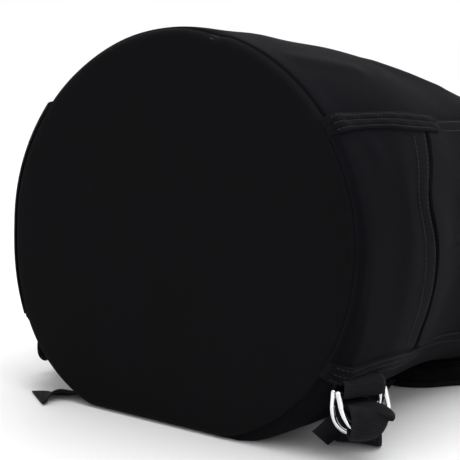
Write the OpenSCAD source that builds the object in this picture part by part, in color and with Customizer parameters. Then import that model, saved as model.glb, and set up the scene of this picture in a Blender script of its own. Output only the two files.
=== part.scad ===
// Rope storage bag: a round-based canvas bag lying on its back panel, on its two shoulder straps.
// +Y runs from the round base to the mouth, +Z is up and the floor is Z = 0.

/* [Bag] */
// Length from the base to the mouth
bag_len = 505; // [490:5:520]
// Half width of the round base as it lies
base_half_w = 162; // [160:1:166]
// Height of the base as it lies
base_top = 297; // [292:1:300]
// Height that the straps lift the underside
strap_lift = 12; // [12:0.5:16]
// Thickness of the canvas
cloth_t = 1.6; // [1.2:0.2:1.8]

/* [Pockets and seams] */
// Depth of the side pockets from the base
pocket_depth = 88; // [84:2:100]
// How far the pocket stands open at the middle of its mouth
pocket_gape = 11; // [8:1:12]
// Width of the felled seam tapes
tape_w = 12; // [10:1:14]
// Length of the tapes from the base
tape_len = 116; // [112:2:136]

/* [Webbing and rings] */
// Width of the strap webbing
web_w = 38; // [34:1:38]
// Thickness of the webbing
web_t = 2; // [1.8:0.1:2.2]
// Wire diameter of the D-rings
wire_d = 3.6; // [3.4:0.1:4]
// Splay of the outer ring from straight down
ring_splay = 24; // [22:1:26]
// Width of the shoulder pads
pad_w = 65; // [55:1:66]

/* [Mouth] */
// Depth of the drawcord channel along the bag
hem_depth = 30; // [26:1:32]
// Diameter of the drawcord
cord_d = 4.4; // [4:0.2:4.6]
// Reach of the haul loop past the mouth
haul_reach = 95; // [80:5:100]

/* [Hidden] */

canvas = "#1b1b1f";
canvas_light = "#26262b";
webbing = "#2a2a2e";
chrome = "#d8dade";
moulded = "#151517";

base_r = 150;            // radius used to turn widths round the bag into angles
origin_y = (bag_len + haul_reach) / 2;
clear = 0.4;             // gap between neighbouring soft pieces
tape_half = tape_w / 2 / base_r * 180 / PI;  // half a tape, in degrees round the bag
panel_gap = 0.15;        // degrees left between two panels at a seam
// Exponents of the section's rounded square: its seams make it squarer away from the base.
// The third number is where each has reached its second value.
upper_power = [1.95, 2.7, 110];
lower_left_power = [2.45, 2.8, 45];
lower_right_power = [2.08, 2.5, 15];
corner_fill = 0.9;       // further growth of the last one where the bag sinks onto its strap
fill_from = 100;
fill_len = 150;
base_shift = -1.3;       // sideways shift of the base against the rest
base_shift_len = 60;
floor_sink = 10;         // how far the round section would pass below the floor
lean = 0.08;             // sideways lean of the slack bag
lift_start = 60;
lift_len = 150;
seam_hi = 35;            // angle of the upper side seam at the base
seam_fall = 4;           // how far that seam falls as the bag slumps
seam_fall_len = 150;
seam_lo = -28;           // angle of the lower side seam at the base
seam_rise = 2;           // how far it rises over the first part of the pocket
rise_len = 50;
seam_drop = 3.2;         // how far it falls again beyond that
drop_from = 55;
drop_len = 60;
front_y = 0.4;

// ---- Form of the bag -------------------------------------------------------
// The empty bag slumps and widens from its base to its gathered mouth.
// Stations along the bag, with its half width and its top above those of the base.
stations = [[0, 0, 0], [14, 3, -1], [60, 4, -9], [130, -5, -22], [200, -2, -42],
  [280, 6, -69], [380, 8, -97], [bag_len, -2, -117]];
last_st = len(stations) - 1;
function smooth(t) = let (u = min(max(t, 0), 1)) u * u * (3 - 2 * u);
function slope(i, c) = let (a = stations[max(i - 1, 0)], b = stations[min(i + 1, last_st)])
  (b[c] - a[c]) / (b[0] - a[0]);
// Smooth curve through column c of the stations.
function along(y, c) = let (
    i = max([for (k = [0:last_st - 1]) if (k == 0 || stations[k][0] <= y) k]),
    a = stations[i], b = stations[i + 1], w = b[0] - a[0], t = (y - a[0]) / w)
  a[c] + (b[c] - a[c]) * t * t * (3 - 2 * t)
    + w * t * (1 - t) * (slope(i, c) * (1 - t) - slope(i + 1, c) * t);
function half_w(y) = base_half_w + along(y, 1);
function top_z(y) = base_top + along(y, 2);
function low_z(y) = (floor_sink + strap_lift) * smooth((y - lift_start) / lift_len) - floor_sink;
function mid_z(y) = (top_z(y) + low_z(y)) / 2;
function half_h(y) = (top_z(y) - low_z(y)) / 2;
function hi(y) = seam_hi - seam_fall * smooth(y / seam_fall_len);
function lo(y) = seam_lo + seam_rise * smooth(y / rise_len) - seam_drop * smooth((y - drop_from) / drop_len);
function power_at(a, y) = let (
    p = sin(a) >= 0 ? upper_power : cos(a) > 0 ? lower_right_power : lower_left_power)
  p[0] + (p[1] - p[0]) * smooth(y / p[2])
    + (sin(a) < 0 && cos(a) > 0 ? corner_fill * smooth((y - fill_from) / fill_len) : 0);
function radius_at(a, y) = let (n = power_at(a, y))
  pow(pow(abs(cos(a)) / half_w(y), n) + pow(abs(sin(a)) / half_h(y), n), -1 / n);
// Point at angle a round the bag, y along it and d outside the canvas.
function skin_pt(a, y, d) = let (r = radius_at(a, y) + d, up = r * sin(a))
  [r * cos(a) + lean * up + base_shift * (1 - smooth(y / base_shift_len)), y, max(-d, mid_z(y) + up)];

// ---- Closed meshes from rings of points ------------------------------------
function two(a, b, c, d) = [[a, b, c], [a, c, d]];
function flat(list) = [for (group = list) each group];

// Sheet between two offsets. Its edges are the angles from(y) and to(y), and the offsets
// depend on the share f of the way from one to the other.
module sheet(from, to, steps, ys, outer, inner) {
  ny = len(ys);
  n = (steps + 1) * ny;
  function at(f, y) = from(y) + (to(y) - from(y)) * f;
  pts = concat(
    [for (i = [0:steps]) for (y = ys) skin_pt(at(i / steps, y), y, outer(i / steps, y))],
    [for (i = [0:steps]) for (y = ys) skin_pt(at(i / steps, y), y, inner(i / steps, y))]);
  function id(i, j) = i * ny + j;
  faces = flat(concat(
    [for (i = [0:steps - 1]) for (j = [0:ny - 2])
      two(id(i, j), id(i + 1, j), id(i + 1, j + 1), id(i, j + 1))],
    [for (i = [0:steps - 1]) for (j = [0:ny - 2])
      two(n + id(i, j), n + id(i, j + 1), n + id(i + 1, j + 1), n + id(i + 1, j))],
    [for (i = [0:steps - 1])
      two(id(i, 0), n + id(i, 0), n + id(i + 1, 0), id(i + 1, 0))],
    [for (i = [0:steps - 1])
      two(id(i, ny - 1), id(i + 1, ny - 1), n + id(i + 1, ny - 1), n + id(i, ny - 1))],
    [for (j = [0:ny - 2])
      two(id(0, j), id(0, j + 1), n + id(0, j + 1), n + id(0, j))],
    [for (j = [0:ny - 2])
      two(id(steps, j), n + id(steps, j), n + id(steps, j + 1), id(steps, j + 1))]));
  translate([0, -origin_y, 0]) polyhedron(pts, faces, convexity = 6);
}

// Solid through a list of rings, each a list of the same number of points.
module loft(rings, closed = false) {
  n = len(rings);
  m = len(rings[0]);
  last = closed ? n - 1 : n - 2;
  sides = flat([for (i = [0:last]) for (k = [0:m - 1])
    let (a = i * m, b = ((i + 1) % n) * m, q = (k + 1) % m) two(a + k, a + q, b + q, b + k)]);
  caps = closed ? [] : flat([for (k = [1:m - 2])
    [[0, k + 1, k], [(n - 1) * m, (n - 1) * m + k, (n - 1) * m + k + 1]]]);
  translate([0, -origin_y, 0]) polyhedron(flat(rings), concat(sides, caps), convexity = 8);
}

function unit(v) = v / norm(v);
function ahead(p, i) = unit(p[min(i + 1, len(p) - 1)] - p[max(i - 1, 0)]);
// Smooth curve through hand-placed points.
function spline(p, steps) = [
  for (i = [0:len(p) - 2]) for (k = [0:steps - 1])
    let (t = k / steps, a = p[max(i - 1, 0)], b = p[i], c = p[i + 1], d = p[min(i + 2, len(p) - 1)])
    b + t * (c - a) / 2 + t * t * (2 * a - 5 * b + 4 * c - d) / 2
      + t * t * t * (3 * b - a - 3 * c + d) / 2,
  p[len(p) - 1]];
// Ring of a flat strap: half width along w, half thickness across it.
function strap_ring(p, along, w, hw, ht) =
  let (wide = unit(w - (w * along) * along), up = cross(wide, along))
  [p + hw * wide + ht * up, p - hw * wide + ht * up, p - hw * wide - ht * up, p + hw * wide - ht * up];
module strap(points, wides, hw, ht, steps = 4) {
  path = spline(points, steps);
  wide = spline(wides, steps);
  loft([for (i = [0:len(path) - 1]) strap_ring(path[i], ahead(path, i), wide[i], hw, ht)]);
}
// Outline of a strap seen edge on, along a flat route.
function edge_shift(path, i) = let (d = ahead(path, i)) [-d[1], d[0]] * web_t / 2;
function band(path) = let (n = len(path)) concat(
  [for (i = [0:n - 1]) path[i] + edge_shift(path, i)],
  [for (i = [n - 1:-1:0]) path[i] - edge_shift(path, i)]);
// Ring of a round cord.
function cord_ring(p, along, ref, r, sides) =
  let (u = unit(cross(ref, along)), v = cross(along, u))
  [for (k = [0:sides - 1]) p + r * (cos(360 * k / sides) * u + sin(360 * k / sides) * v)];

module mirrored() mirror([1, 0, 0]) children();
module plate(inset, y0, thick) // disc cut to the bag's section
  translate([0, y0 + thick - origin_y, 0]) rotate([90, 0, 0]) linear_extrude(thick)
    polygon([for (a = [0:4:356]) let (p = skin_pt(a, 0, -inset)) [p[0], p[2]]]);

// ---- Base --------------------------------------------------------------------
edge_inset = cloth_t + 0.6;
stiff_t = 3;
module base_panel() color(canvas) plate(edge_inset, 0, cloth_t);
module base_stiffener() color(moulded) plate(edge_inset + 3, cloth_t + 0.2, stiff_t);
module base_lining() color(canvas_light) plate(edge_inset + 1, cloth_t + stiff_t + 0.4, 1.2);
module base_seam_binding() color(webbing)
  loft([for (a = [0:6:354]) [for (q = [[0, 0], [9, 0], [9, 2.4], [0, 2.4]])
    skin_pt(a, 8 + q[0], -cloth_t - clear - 3.3 + q[1])]], closed = true);

// ---- Panels ------------------------------------------------------------------
panel_end = bag_len - hem_depth - 0.5;
panel_ys = concat([front_y, 5, 12, 25, 60], [for (k = [1:8]) 60 + (panel_end - 60) * k / 8]);
module panel(from, to, steps) color(canvas_light) sheet(
  function(y) from(y) + panel_gap, function(y) to(y) - panel_gap, steps, panel_ys,
  function(f, y) 0, function(f, y) -cloth_t);
module front_panel() panel(function(y) hi(y), function(y) 180 - hi(y), 16);
module back_panel() panel(function(y) 180 - lo(y), function(y) 360 + lo(y), 18);
module right_side_panel() panel(function(y) lo(y), function(y) hi(y), 12);
module left_side_panel() panel(function(y) 180 - hi(y), function(y) 180 - lo(y), 12);

// ---- Pockets -----------------------------------------------------------------
pocket_ys = concat([6, 12, 25], [for (k = [1:5]) 25 + (pocket_depth - 25) * k / 5]);
pocket_steps = 12;
hem_tape = 18;
function pouch(f, y) = clear
  + pocket_gape * sin(180 * f) * smooth((y - 20) / (pocket_depth - 20));
module pocket(from, to) color(canvas_light) sheet(from, to, pocket_steps, pocket_ys,
  function(f, y) pouch(f, y) + cloth_t, function(f, y) pouch(f, y));
module pocket_tape(from, to) color(canvas_light) sheet(
  function(y) from(y) + tape_half + 0.3, function(y) to(y) - tape_half - 0.3, pocket_steps,
  [pocket_depth - hem_tape, pocket_depth - hem_tape / 2, pocket_depth - 0.5],
  function(f, y) pouch(f, y) + cloth_t + 2.8, function(f, y) pouch(f, y) + cloth_t + 1.8);
module right_pocket() pocket(function(y) lo(y), function(y) hi(y));
module left_pocket() pocket(function(y) 180 - hi(y), function(y) 180 - lo(y));
module right_pocket_hem_tape() pocket_tape(function(y) lo(y), function(y) hi(y));
module left_pocket_hem_tape() pocket_tape(function(y) 180 - hi(y), function(y) 180 - lo(y));

// ---- Felled seam tapes ---------------------------------------------------------
tape_ys = concat([front_y + 0.6, 4, 8, 14, 25], [for (k = [1:5]) 25 + (tape_len - 25) * k / 5]);
module seam_tape(at) color(webbing) sheet(
  function(y) at(y) - tape_half, function(y) at(y) + tape_half, 2, tape_ys,
  function(f, y) cloth_t + clear + 3.1, function(f, y) cloth_t + clear + 1.4);
module right_upper_seam_tape() seam_tape(function(y) hi(y));
module right_lower_seam_tape() seam_tape(function(y) lo(y));
module left_upper_seam_tape() seam_tape(function(y) 180 - hi(y));
module left_lower_seam_tape() seam_tape(function(y) 180 - lo(y));

// ---- D-ring adjusters ----------------------------------------------------------
// Each is drawn in its own coordinates: u away from the bag, b along the ring bars, v up.
wire_r = wire_d / 2;
bow_r = 21.6;            // centre line of the ring's half-round bow
leg_len = 9;             // straight part of the ring's legs
bar_gap = 2.3;           // half the distance between the two bars
inner_splay = 0;
turn_w = 26;             // webbing bunches to this width where it turns in the rings
right_at = [146.4, 26, 50]; // middle of the right adjuster's two bars
right_yaw = -15;
left_at = [-165, 66, 45];
left_yaw = 3;
left_tuck = 5;           // the left rings lie closer in under the bag
bar_tilt = -5;
module at_right() translate(right_at - [0, origin_y, 0]) rotate([bar_tilt, 0, right_yaw]) children();
module at_left() translate(left_at - [0, origin_y, 0]) rotate([bar_tilt, 0, left_yaw])
  mirror([1, 0, 0]) children();
// Turns children about a bar, outwards from the bag.
module swung(u, angle) translate([u, 0, 0]) rotate([0, -angle, 0]) children();
module d_ring() color(chrome) {
  rotate([90, 0, 0]) cylinder(h = 2 * bow_r, r = wire_r, center = true, $fn = 32);
  for (side = [-1, 1]) translate([0, side * bow_r, -leg_len]) {
    cylinder(h = leg_len, r = wire_r, $fn = 32);
    translate([0, 0, leg_len]) sphere(r = wire_r, $fn = 32);
  }
  translate([0, 0, -leg_len]) rotate([0, 90, 0]) rotate([0, 0, -90])
    rotate_extrude(angle = 180, $fn = 64) translate([bow_r, 0]) circle(r = wire_r, $fn = 32);
}
module right_inner_d_ring() at_right() swung(-bar_gap, inner_splay) d_ring();
module right_outer_d_ring() at_right() swung(bar_gap, ring_splay) d_ring();
module left_inner_d_ring() at_left() swung(-bar_gap, inner_splay - left_tuck) d_ring();
module left_outer_d_ring() at_left() swung(bar_gap, ring_splay - left_tuck) d_ring();

// Webbing folded round both bars, its ends caught under the lower seam tape.
fold_gap = 0.25;
loop_in = bar_gap + wire_r + fold_gap;
loop_low = wire_r + fold_gap;
loop_top = 4.2;
module ring_loop() color(webbing)
  rotate([90, 0, 0]) linear_extrude(web_w, center = true) difference() {
    polygon([[-2.6, loop_top], [-loop_in - web_t, 1.6], [-loop_in - web_t, -1],
      [-loop_in + 0.6, -loop_low - web_t], [loop_in - 0.6, -loop_low - web_t],
      [loop_in + web_t, -1], [loop_in + web_t, loop_top - 1.6], [loop_in + web_t - 1, loop_top]]);
    polygon([[-2.4, loop_top - 2.2], [-loop_in, 1.2], [-loop_in, -0.8],
      [-loop_in + 1, -loop_low], [loop_in - 1, -loop_low],
      [loop_in, -0.8], [loop_in, loop_top - 2.2]]);
  }
module right_ring_loop() at_right() ring_loop();
module left_ring_loop() at_left() ring_loop();

// Webbing turned over the outer ring: out through both rings and back through the inner one.
turn_route = [[-8, -10.5], [-4, -9.4], [4.3, -9.2], [11, -9.8], [16.8, -11.8], [20, -17.5], [20, -25],
  [18, -30.6], [14.4, -31.9], [11, -28.5], [8, -23], [4, -19], [-2.5, -16.4], [-8, -15.2]];
module strap_turn() color(webbing) translate([-bar_gap, 0, 0])
  rotate([90, 0, 0]) linear_extrude(turn_w, center = true) polygon(band(spline(turn_route, 3)));
module right_strap_turn() at_right() swung(bar_gap, 0) strap_turn();
module left_strap_turn() at_left() swung(bar_gap, -left_tuck) strap_turn();

// ---- Strap webbing from the pad to the adjuster --------------------------------
pad_end = [54, 198, 5];
lead_wide = [[0.87, 0.5, 0], [0.87, 0.5, 0], [0.9, 0.4, 0], [0.93, 0.36, 0.05], [0.8, 0.6, 0.1],
  [0.6, 0.8, 0.1]];
right_lead_route = [[56, 184, 4], [61, 166, 3], [77, 132, 1.6], [94, 101, 1.6], [108, 79, 2],
  [118, 63, 4]];
left_lead_route = [[-59, 180, 4], [-70, 170, 3], [-88, 148, 1.6], [-106, 126, 1.6], [-122, 106, 3],
  [-137, 92, 9]];
module right_strap_webbing() color(webbing)
  strap(right_lead_route, lead_wide, web_w / 2, web_t / 2);
module left_strap_webbing() color(webbing)
  strap(left_lead_route, [for (w = lead_wide) [-w[0], w[1], w[2]]], web_w / 2, web_t / 2);

// Tails: the right one ends just behind its rings, the left one on the floor.
right_tail_route = [[130, 37, 27], [125, 32.5, 20.5], [120, 28, 14.5], [116, 24, 10]];
right_tail_wide = [for (p = right_tail_route) [-0.12, 0.9, -0.42]];
module right_strap_tail() color(webbing)
  strap(right_tail_route, right_tail_wide, web_w / 2, web_t / 2, 3);
left_tail_route = [[-123, 56, 1.2], [-124, 42, 1.2], [-127, 27, 1.3], [-132, 13, 1.5]];
left_tail_wide = [for (p = left_tail_route) [0.84, -0.54, 0]];
module left_strap_tail() color(webbing)
  strap(left_tail_route, left_tail_wide, web_w / 2, web_t / 2, 3);

// ---- Shoulder pads ---------------------------------------------------------------
pad_route = [pad_end, [78, 234, 5], [104, 268, 5], [121, 312, 5], [116, 360, 5], [88, 398, 5],
  [56, 418, 5], [36, 425, 5]];
pad_steps = 4;
module pad_layer(z0, z1, inset) color(canvas) {
  path = spline(pad_route, pad_steps);
  n = len(path) - 1;
  loft([for (i = [0:n]) let (along = ahead(path, i), s = i / n,
      round_end = sqrt(max(0.02, 1 - pow(max(0, 1 - s / 0.13), 2))),
      neck = 1 - 0.3 * smooth((s - 0.75) / 0.25),
      hw = pad_w / 2 * round_end * neck - inset, wide = [along[1], -along[0], 0],
      c = [path[i][0], path[i][1], (z0 + z1) / 2], ht = (z1 - z0) / 2)
    [c + hw * wide + [0, 0, ht * 0.4], c + 0.8 * hw * wide + [0, 0, ht], c - 0.8 * hw * wide + [0, 0, ht],
      c - hw * wide + [0, 0, ht * 0.4], c - hw * wide - [0, 0, ht], c + hw * wide - [0, 0, ht]]]);
}
module right_pad_back() pad_layer(0, 1.6, 0);
module left_pad_back() mirrored() right_pad_back();
module right_pad_foam() pad_layer(1.8, 8.2, 3);
module left_pad_foam() mirrored() right_pad_foam();
module right_pad_face() pad_layer(8.4, 10.2, 0.5);
module left_pad_face() mirrored() right_pad_face();

// ---- Yoke patch, haul loop -----------------------------------------------------
module strap_yoke_patch() color(canvas) sheet(
  function(y) 246, function(y) 294, 8, [430, 449, 468],
  function(f, y) 2.4, function(f, y) clear);
haul_w = 38;
haul_z = 7.1;
hinge_y = bag_len + 3;
module haul_loop_tab() color(webbing)
  translate([-haul_w / 2, 436 - origin_y, haul_z - web_t])
    cube([haul_w, hinge_y - web_t - 0.5 - 436, 2 * web_t]);
haul_end = bag_len + haul_reach;
haul_route = [[hinge_y, 6], [hinge_y + 20, 2.4], [hinge_y + 45, 1.5], [haul_end - 18, 2.2],
  [haul_end - 4, 7], [haul_end - 1.1, 15], [haul_end - 6, 23.5], [haul_end - 18, 27],
  [hinge_y + 45, 25], [hinge_y + 20, 15], [hinge_y, 8.4]];
// Extrudes an outline drawn in Y and Z across the bag.
module across(w) translate([-w / 2, -origin_y, 0]) rotate([90, 0, 90]) linear_extrude(w) children();
// The loop's two layers are sewn together at a round root, about which it turns.
module haul_loop() color(webbing) {
  across(haul_w) polygon(band(spline(haul_route, 3)));
  translate([0, hinge_y - origin_y, haul_z]) rotate([0, 90, 0])
    cylinder(h = haul_w, r = web_t + 0.1, center = true, $fn = 32);
}

// ---- Mouth ---------------------------------------------------------------------
hem_y = bag_len - hem_depth;
tunnel = 6.4;            // inside height of the drawcord channel
hole_y = bag_len - hem_depth / 2;
hole_deg = 5.5;          // angle from the top to each eyelet
hole_r = 5.2;
eyelet_r = 3.6;
flange_r = 7.4;
module at_eyelet(side) {
  p = skin_pt(90 - side * hole_deg, hole_y, 0);
  translate([p[0], p[1] - origin_y, p[2]]) rotate([0, side * hole_deg, 0]) children();
}
module mouth_hem() color(canvas) difference() {
  loft([for (a = [0:5:355]) [for (q = [[0, 0], [0, -cloth_t], [hem_depth - cloth_t, -cloth_t],
      [hem_depth - cloth_t, -cloth_t - tunnel], [0, -cloth_t - tunnel], [0, -2 * cloth_t - tunnel],
      [hem_depth, -2 * cloth_t - tunnel], [hem_depth, 0]])
    skin_pt(a, hem_y + q[0], q[1])]], closed = true);
  for (side = [-1, 1]) at_eyelet(side) translate([0, 0, -4]) cylinder(h = 8, r = hole_r, $fn = 24);
}
module cord_eyelets() color(chrome) for (side = [-1, 1]) at_eyelet(side) difference() {
  union() {
    translate([0, 0, -cloth_t - 2.2]) cylinder(h = cloth_t + 3.6, r = hole_r - 0.3, $fn = 32);
    translate([0, 0, 1]) cylinder(h = 0.8, r = flange_r, $fn = 48);
    translate([0, 0, -cloth_t - 2.4]) cylinder(h = 0.8, r = flange_r - 0.5, $fn = 48);
  }
  translate([0, 0, -5]) cylinder(h = 8, r = eyelet_r, $fn = 32);
}

// The cord lock lies on the front panel, and its cord runs parallel to the panel there.
lock_r = 7;
lock_y = bag_len - 41;
lock_tilt = atan((top_z(lock_y - 24) - top_z(lock_y + 12)) / 36);
lock_at = [0, lock_y, top_z(lock_y) + (lock_r + 0.6) / cos(lock_tilt)];
cord_apart = cord_d / 2 + 0.15;
// World point of lock coordinates: x across, s along the cord away from the mouth, h above it.
function lock_pt(x, s, h) = lock_at
  + [x, h * sin(lock_tilt) - s * cos(lock_tilt), s * sin(lock_tilt) + h * cos(lock_tilt)];
module at_lock() translate(lock_at - [0, origin_y, 0]) rotate([-lock_tilt, 0, 0]) children();
bead_s = 27;             // end bead's place along the cord
function cord_lead(side) = let (a = 90 - side * hole_deg, x = side * cord_apart) [
  lock_pt(x, bead_s - 3, 0), lock_pt(x, 14, 0), lock_pt(x, 0, 0), lock_pt(x, -10, 0),
  skin_pt(90 - side * 2.6, hole_y - 7.5, 6.6), skin_pt(90 - side * 4.6, hole_y - 2.6, 4.6),
  skin_pt(a, hole_y, 0.5), skin_pt(a, hole_y, -2), skin_pt(90 - side * (hole_deg + 1.4), hole_y, -4.4)];
ring_a = [for (k = [0:44]) 90 - hole_deg - 6 - (360 - 2 * hole_deg - 12) * k / 44];
function reversed(p) = [for (i = [len(p) - 1:-1:0]) p[i]];
function drawcord_path() = concat(spline(cord_lead(1), 2),
  [for (a = ring_a) skin_pt(a, hole_y, -cloth_t - tunnel / 2)], reversed(spline(cord_lead(-1), 2)));
module drawcord() color(webbing) {
  path = drawcord_path();
  loft([for (i = [0:len(path) - 1]) cord_ring(path[i], ahead(path, i), [0, 1, 0.13], cord_d / 2, 8)]);
}
module cord_end_bead() color(moulded) at_lock() translate([0, -bead_s, 0]) difference() {
  union() {
    scale(1) sphere(r = 5.6, $fn = 40);
    rotate([-90, 0, 0]) cylinder(h = 6, r = 5.2, $fn = 40);
  }
  for (side = [-1, 1]) translate([side * cord_apart, -1, 0]) rotate([-90, 0, 0])
    cylinder(h = 12, r = cord_d / 2 + 0.05, $fn = 24);
}

// Cord lock: a barrel with a sprung plunger, both crossed by the slot for the cords.
slot_w = 2 * cord_apart + cord_d + 0.6;
slot_h = cord_d + 0.6;
plunger_r = 4.9;
press = 3.5;             // travel of the plunger
barrel_in = -12.5;       // blind end of the bore
barrel_out = 9;
module slot_cut(w, shift) translate([shift, 0, 0])
  cube([w, 30, slot_h], center = true);
module cord_lock_barrel() color(moulded) at_lock() difference() {
  union() {
    translate([barrel_in - 1.5, 0, 0]) rotate([0, 90, 0])
      cylinder(h = barrel_out - barrel_in + 1.5, r = lock_r, $fn = 48);
    for (x = [barrel_in + 1, barrel_out - 1.5]) translate([x, 0, 0]) rotate([0, 90, 0])
      cylinder(h = 1.5, r = lock_r + 0.5, $fn = 48);
  }
  translate([barrel_in, 0, 0]) rotate([0, 90, 0])
    cylinder(h = barrel_out - barrel_in + 1, r = plunger_r + 0.15, $fn = 48);
  slot_cut(slot_w, 0);
}
plunger_in = -slot_w / 2 - press / 2 - 1.6;
module cord_lock_plunger() color("#3a3b40") at_lock() difference() {
  union() {
    translate([plunger_in, 0, 0]) rotate([0, 90, 0])
      cylinder(h = barrel_out + press - plunger_in, r = plunger_r, $fn = 48);
    translate([barrel_out + press, 0, 0]) rotate([0, 90, 0])
      cylinder(h = 1.6, r1 = plunger_r, r2 = plunger_r - 1.4, $fn = 48);
  }
  slot_cut(slot_w + press, press / 2);
}
spring_turns = 3;
module cord_lock_spring() color(chrome) {
  n = 16 * spring_turns;
  path = [for (k = [0:n]) let (a = 22.5 * k)
    lock_at + [barrel_in + 0.5 + (plunger_in - barrel_in - 1) * k / n, 3.4 * cos(a), 3.4 * sin(a)]];
  loft([for (i = [0:n]) cord_ring(path[i], ahead(path, i), [1, 0, 0], 0.4, 6)]);
}

// ---- Loop inside the base for tying in the rope's end ----------------------------
tie_w = 25;
tie_z = 150;
tie_y = cloth_t + stiff_t + 2;
tie_route = [[0, 3.2], [12, 6], [26, 8.5], [34, 5], [36.5, 0], [34, -5], [26, -8.5], [12, -6], [0, -3.2]];
module tie_in_loop() color(webbing) across(tie_w)
  translate([tie_y, tie_z]) polygon(band(spline(tie_route, 2)));

base_panel();
base_stiffener();
base_lining();
base_seam_binding();
front_panel();
back_panel();
right_side_panel();
left_side_panel();
right_pocket();
left_pocket();
right_pocket_hem_tape();
left_pocket_hem_tape();
right_upper_seam_tape();
right_lower_seam_tape();
left_upper_seam_tape();
left_lower_seam_tape();
right_ring_loop();
left_ring_loop();
right_inner_d_ring();
left_inner_d_ring();
right_outer_d_ring();
left_outer_d_ring();
right_strap_turn();
left_strap_turn();
right_strap_webbing();
left_strap_webbing();
right_strap_tail();
left_strap_tail();
right_pad_face();
left_pad_face();
right_pad_foam();
left_pad_foam();
right_pad_back();
left_pad_back();
strap_yoke_patch();
haul_loop_tab();
haul_loop();
mouth_hem();
cord_eyelets();
drawcord();
cord_lock_barrel();
cord_lock_plunger();
cord_lock_spring();
cord_end_bead();
tie_in_loop();
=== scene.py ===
import math
import bmesh
import bpy
import numpy as np
from mathutils import Matrix, Vector


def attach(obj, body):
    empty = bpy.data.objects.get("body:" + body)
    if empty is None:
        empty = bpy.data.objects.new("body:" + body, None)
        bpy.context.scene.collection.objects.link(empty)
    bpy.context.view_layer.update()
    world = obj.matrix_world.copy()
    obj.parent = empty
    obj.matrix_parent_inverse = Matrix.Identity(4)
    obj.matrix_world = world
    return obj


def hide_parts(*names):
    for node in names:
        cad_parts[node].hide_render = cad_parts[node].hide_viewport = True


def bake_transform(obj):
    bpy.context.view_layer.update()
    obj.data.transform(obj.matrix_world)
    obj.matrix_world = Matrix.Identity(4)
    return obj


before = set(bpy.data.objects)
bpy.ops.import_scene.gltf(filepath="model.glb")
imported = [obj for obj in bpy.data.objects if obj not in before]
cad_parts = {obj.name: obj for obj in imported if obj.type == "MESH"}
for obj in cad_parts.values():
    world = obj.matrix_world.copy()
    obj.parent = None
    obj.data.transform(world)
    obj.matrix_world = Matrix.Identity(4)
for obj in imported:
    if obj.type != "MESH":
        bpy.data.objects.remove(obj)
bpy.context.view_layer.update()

MM = 0.001
ORIGIN_Y = 300.0         # the base plane is this far towards -Y, in mm
collection = bpy.context.scene.collection

# ---- Camera ----
CAM_AZ, CAM_EL, CAM_ROLL = math.radians(40), math.radians(10.5), math.radians(0.7)
CAM_DIST = 1.1
CAM_LENS, CAM_SENSOR = 118.6, 36
CAM_SHIFT = 0.1293       # the bag runs out of the picture to the right
CAM_TARGET = Vector((0, -ORIGIN_Y * MM, 0.15))


def make_camera():
    back = Vector((math.sin(CAM_AZ) * math.cos(CAM_EL),
                   -math.cos(CAM_AZ) * math.cos(CAM_EL),
                   math.sin(CAM_EL)))
    right = Vector((0, 0, 1)).cross(back).normalized()
    up = back.cross(right)
    turned_right = right * math.cos(CAM_ROLL) - up * math.sin(CAM_ROLL)
    turned_up = up * math.cos(CAM_ROLL) + right * math.sin(CAM_ROLL)
    data = bpy.data.cameras.new("camera")
    data.sensor_width = CAM_SENSOR
    data.lens = CAM_LENS
    data.shift_x = CAM_SHIFT
    data.clip_start, data.clip_end = 0.05, 50
    cam = bpy.data.objects.new("camera", data)
    m = Matrix((turned_right, turned_up, back)).transposed().to_4x4()
    m.translation = CAM_TARGET + back * CAM_DIST
    cam.matrix_world = m
    collection.objects.link(cam)
    bpy.context.scene.camera = cam


make_camera()

# ---- Form of the bag, as in the CAD source ----
BAG_LEN = 505.0
CLOTH = 1.6
CLEAR = 0.4
POCKET_DEPTH = 88.0
TAPE_W = 12.0
TAPE_LEN = 116.0
HEM_DEPTH = 30.0
# Along the bag (mm): what to add to the base's half width and to its top
STATIONS = np.array([[0, 0, 0], [14, 3, -1], [60, 4, -9], [130, -5, -22], [200, -2, -42],
                     [280, 6, -69], [380, 8, -97], [BAG_LEN, -2, -117]], float)
BASE_HALF_W, BASE_TOP = 162.0, 297.0
LEAN = 0.08              # sideways lean of the section for each mm up
BASE_SHIFT = -1.3
MM_PER_DEG = 2.7         # about the length of cloth in a degree round the bag


def smooth(t):
    u = np.clip(t, 0, 1)
    return u * u * (3 - 2 * u)


def along(y, c):
    """Column c of STATIONS at y, as a smooth curve through them."""
    y = np.asarray(y, float)
    s = STATIONS
    last = len(s) - 1
    ahead = s[[min(i + 1, last) for i in range(len(s))]]
    behind = s[[max(i - 1, 0) for i in range(len(s))]]
    slopes = (ahead[:, c] - behind[:, c]) / (ahead[:, 0] - behind[:, 0])
    i = np.clip(np.searchsorted(s[:, 0], y, side="right") - 1, 0, last - 1)
    w = s[i + 1, 0] - s[i, 0]
    t = (y - s[i, 0]) / w
    return (s[i, c] + (s[i + 1, c] - s[i, c]) * t * t * (3 - 2 * t)
            + w * t * (1 - t) * (slopes[i] * (1 - t) - slopes[i + 1] * t))


def half_w(y):
    return BASE_HALF_W + along(y, 1)


def top_z(y):
    return BASE_TOP + along(y, 2)


def low_z(y):
    return 22 * smooth((np.asarray(y, float) - 60) / 150) - 10


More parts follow.
